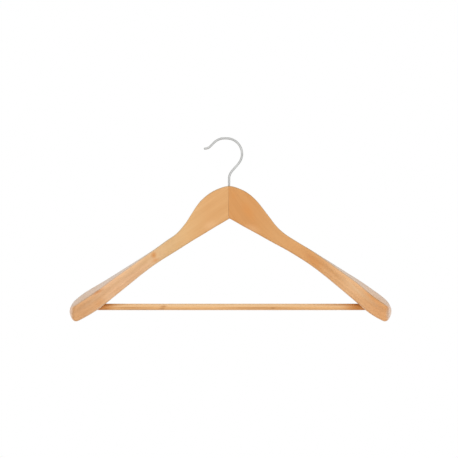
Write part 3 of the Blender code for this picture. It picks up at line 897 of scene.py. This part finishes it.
def board_axes(graph, where, slope, steeper):
    """Coordinates that follow the grain, which bends to a steeper slope close to the seam."""
    x, y, z = (graph.axis(where, letter) for letter in "XYZ")
    fade = graph.math("POWER", math.e, graph.math("MULTIPLY", x, -1 / STEEP_REACH))
    line = graph.math("MULTIPLY", x, slope)
    bent = graph.math("MULTIPLY", graph.math("SUBTRACT", 1.0, fade), steeper * STEEP_REACH)
    across = graph.math("SUBTRACT", graph.math("SUBTRACT", z, line), bent)
    return graph.add("CombineXYZ", X=x, Y=y, Z=across)


def with_spots(graph, where, colour, spots):
    """A colour with knots, flecks and streaks over it, and patches of painted shade and painted
    highlight.
    """
    for at, size, degrees, spot_colour, strength in spots:
        turn = (0, math.radians(degrees), 0)
        spot = graph.spot(where, Vector(at) * MM, Vector(size) * MM, turn)
        colour = graph.mix(graph.math("MULTIPLY", spot, strength), colour, spot_colour)
    return colour


def with_seam_line(graph, where, colour):
    """A thin line of dark glue along the seam, stronger lower down."""
    x, z = graph.axis(where, "X"), graph.axis(where, "Z")
    from_seam = graph.math("ABSOLUTE", graph.math("SUBTRACT", x, SEAM_X))
    line = graph.ramp(from_seam, SEAM_GROOVE_HALF, GLUE_HALF)
    strength = graph.ramp(z, *GLUE_HEIGHTS, *GLUE_STRENGTHS)
    return graph.mix(graph.math("MULTIPLY", line, strength), colour, SEAM_DARK)


def with_painted_sheen(graph, colour):
    """A colour with a painted reflection: paler and cooler where the surface faces up."""
    up = graph.axis(graph.add("TexCoord", output=1), "Z")
    sheen = graph.ramp(up, SHEEN_FROM, SHEEN_TO)
    return graph.mix(sheen, colour, graph.mix(1.0, colour, TOP_SHEEN, "MULTIPLY"))


def shoulder_wood(side):
    look = SHOULDER_LOOKS[side]
    graph = Graph(f"{side}_varnished_wood")
    where = graph.coordinates()
    board = board_axes(graph, where, look["slope"], look["steeper"])
    figure = wood_figure(graph, board, look["pith"], look["ring_gap"], RING_DRIFT)
    out = graph.math("DIVIDE", graph.math("ABSOLUTE", graph.axis(where, "X")), TIP_X)
    tones = [(distance * MM / TIP_X, tone) for distance, tone in look["tones"]]
    colour = figured(graph, graph.colours(out, tones), FIGURE_SHARES, figure)
    colour = with_spots(graph, where, colour, SPOTS[side])
    colour = with_seam_line(graph, where, colour)
    colour = with_painted_sheen(graph, colour)
    fibres, pores = figure[2:]
    return varnished(graph, where, colour, fibres, pores)


def bar_wood():
    graph = Graph("bar_varnished_wood")
    where = graph.coordinates()
    x, z = graph.axis(where, "X"), graph.axis(where, "Z")
    figure = wood_figure(graph, where, BAR_PITH, BAR_RING_GAP, BAR_RING_DRIFT)
    # painted highlight on the bar's top, painted shade on its lower side
    pale = graph.mix(graph.ramp(z, *BAR_SHADED_SIDE_HEIGHTS), BAR_LIT_SIDE, BAR_SHADED_SIDE)
    colour = figured(graph, pale, BAR_SHARES, figure)
    for marks, strength in ((BAR_KNOTS, BAR_KNOT_STRENGTH), (BAR_STREAKS, BAR_STREAK_STRENGTH)):
        for at_x, at_z, half_length, half_width in marks:
            at = (at_x * MM, BAR_LOW.y, BAR_CENTRE.z + at_z * MM)
            spot = graph.spot(where, at, (half_length * MM, BAR_MARK_DEPTH, half_width * MM))
            colour = graph.mix(graph.math("MULTIPLY", spot, strength), colour, BAR_STREAK_AND_SHADOW)
    # painted shade on the bar's ends, where they run in under the arms
    painted_end_shade = graph.ramp(graph.math("ABSOLUTE", x), ARM_SHADE_FROM, ARM_SHADE_TO)
    colour = graph.mix(painted_end_shade, colour, BAR_END_SHADE)
    # painted shadow of the arms over the bar's top, in the streaks' colour
    shadowed_top = graph.ramp(z, *BAR_SHADOWED_TOP, 0.0, TOP_SHADE_STRENGTH)
    for start, end in TOP_SHADES:
        shaded = graph.math("MULTIPLY", graph.ramp(x, start, end), shadowed_top)
        colour = graph.mix(shaded, colour, BAR_STREAK_AND_SHADOW)
    fibres, pores = figure[2:]
    return varnished(graph, where, colour, fibres, pores)


def drawn_wire():
    """Satin nickel plate over drawn wire: fine lines along the wire, and slight stains."""
    graph = Graph("satin_nickel_wire")
    wire = graph.add("Attribute", output=1, settings={"attribute_name": "wire"})
    lines = graph.noise(graph.vector("MULTIPLY", wire, WIRE_LINE_SCALES), detail=2)
    stains = graph.noise(graph.vector("MULTIPLY", wire, WIRE_STAIN_SCALES), detail=3)
    colour = graph.mix(graph.ramp(stains, *NICKEL_STAINS), NICKEL, NICKEL_STAIN)
    colour = graph.mix(graph.ramp(lines, *NICKEL_LINES), colour, NICKEL_LINE)
    rough = graph.ramp(lines, USUAL_LOW, USUAL_HIGH, *NICKEL_ROUGHNESS)
    bump = graph.add("Bump", Strength=RELIEF_STRENGTH, Distance=NICKEL_RELIEF, Height=lines)
    return graph.finish(Base_Color=colour, Metallic=1.0, Roughness=rough, Normal=bump)


def zinc_plate():
    """Dull zinc plate with a faint crystal pattern and some darker handling marks."""
    graph = Graph("dull_zinc_plate")
    where = graph.coordinates()
    crystals = graph.add("TexVoronoi", Vector=where, Scale=ZINC_CRYSTALS_PER_METRE)
    marks = graph.noise(where, scale=ZINC_MARKS_PER_METRE, detail=4)
    colour = graph.mix(graph.ramp(crystals, *ZINC_CRYSTALS), ZINC, ZINC_CRYSTAL)
    colour = graph.mix(graph.ramp(marks, *ZINC_MARKS), colour, ZINC_MARK)
    rough = graph.ramp(marks, USUAL_LOW, USUAL_HIGH, *ZINC_ROUGHNESS)
    bump = graph.add("Bump", Strength=ZINC_RELIEF_STRENGTH, Distance=ZINC_RELIEF, Height=marks)
    return graph.finish(Base_Color=colour, Metallic=1.0, Roughness=rough, Normal=bump)


def finish_hardware():
    """The small steel pieces keep their CAD shapes."""
    zinc = zinc_plate()
    for node in ("hook_nut", "hook_washer", "left_bar_nail", "right_bar_nail"):
        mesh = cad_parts[node].data
        mesh.materials.clear()
        mesh.materials.append(zinc)


# The studio


def make_floor():
    half = FLOOR_HALF
    bm = bmesh.new()
    corners = [(-half, -half), (half, -half), (half, half), (-half, half)]
    bm.faces.new([bm.verts.new((x, y, FLOOR_Z)) for x, y in corners])
    floor = link("pale_floor", mesh_from(bm, "pale_floor"))
    graph = Graph("pale_floor")
    grain = graph.noise(graph.coordinates(), scale=FLOOR_GRAIN_PER_METRE, detail=3)
    colour = graph.mix(grain, *FLOOR_TONES)
    floor.data.materials.append(graph.finish(Base_Color=colour, Roughness=FLOOR_ROUGHNESS))


def area_light(name, at, size, power):
    """A round soft light that faces the picture's centre."""
    light = bpy.data.lights.new(name, "AREA")
    light.shape = "DISK"
    light.size = size
    light.energy = power
    obj = link(name, light)
    obj.location = at
    obj.rotation_euler = (PICTURE_CENTRE - Vector(at)).to_track_quat("-Z", "Y").to_euler()


def studio_world():
    """White all round for the camera. As light, bright behind and in front, and dimmer between."""
    world = bpy.data.worlds.new("white_studio")
    world.use_nodes = True
    nodes, links = world.node_tree.nodes, world.node_tree.links
    where = nodes.new("ShaderNodeTexCoord")
    axes = nodes.new("ShaderNodeSeparateXYZ")
    bright = nodes.new("ShaderNodeValToRGB")
    seen = nodes.new("ShaderNodeLightPath")
    choice = nodes.new("ShaderNodeMix")
    towards = nodes.new("ShaderNodeMapRange")
    towards.inputs["From Min"].default_value = -1
    ramp = bright.color_ramp
    ramp.interpolation = "EASE"
    while len(ramp.elements) < len(SURROUNDINGS):
        ramp.elements.new(0.5)
    for element, (y, level) in zip(ramp.elements, SURROUNDINGS):
        element.position = (y + 1) / 2
        element.color = (level, level, level, 1)
    choice.data_type = "RGBA"
    choice.inputs[7].default_value = (1, 1, 1, 1)
    links.new(where.outputs["Generated"], axes.inputs["Vector"])
    links.new(axes.outputs["Y"], towards.inputs["Value"])
    links.new(towards.outputs["Result"], bright.inputs["Fac"])
    links.new(bright.outputs["Color"], choice.inputs[6])
    links.new(seen.outputs["Is Camera Ray"], choice.inputs[0])
    links.new(choice.outputs[2], nodes["Background"].inputs["Color"])
    return world


def make_studio():
    scene = bpy.context.scene
    scene.view_settings.view_transform = "Standard"
    scene.world = studio_world()
    area_light("softbox", SOFTBOX_AT, SOFTBOX_SIZE, SOFTBOX_POWER)
    make_floor()

    camera = bpy.data.cameras.new("camera")
    camera.sensor_width = SENSOR
    camera.lens = SENSOR * CAMERA_DISTANCE / PICTURE_WIDTH
    obj = link("camera", camera)
    obj.location = PICTURE_CENTRE - Vector((0, CAMERA_DISTANCE, 0))
    obj.rotation_euler = (math.pi / 2, 0, 0)
    scene.camera = obj


make_studio()
make_shoulders()
make_bar()
make_hook()
finish_hardware()
